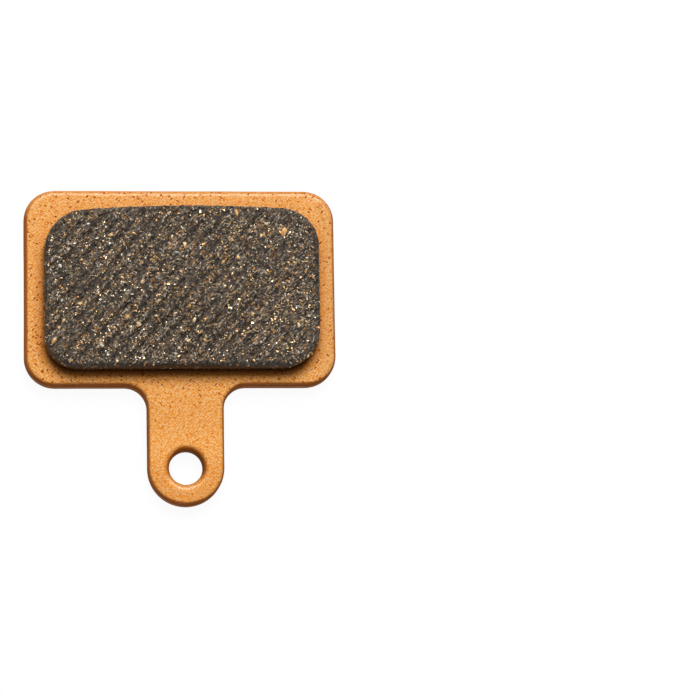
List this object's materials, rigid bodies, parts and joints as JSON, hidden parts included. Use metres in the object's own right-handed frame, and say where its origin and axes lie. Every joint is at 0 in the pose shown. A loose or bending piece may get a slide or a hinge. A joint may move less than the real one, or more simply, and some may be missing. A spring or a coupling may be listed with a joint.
{
  "type": "bicycle disc brake pad",
  "caption": "Rectangular disc brake pad: a copper-finished steel backing plate with a round-ended tab holed for the retaining pin, and a raised ribbed block of friction compound.",
  "frame": {"origin": "middle of the pad's outline, tab included, at the backing plate's back face", "axes": "+Z out of the friction face, +Y from the tab towards the plate, +X to the right as seen from the front"},
  "size_m": [0.0286, 0.0292, 0.004],
  "materials": {
    "copper_plate": "copper-plated steel with a fine blasted satin grain and small pits",
    "friction_compound": "rough charcoal resin-bonded compound with brass, copper and steel chips and fibres"
  },
  "bodies": {
    "root": {"backing_plate": "copper_plate", "friction_block": "friction_compound"}
  },
  "joints": []
}
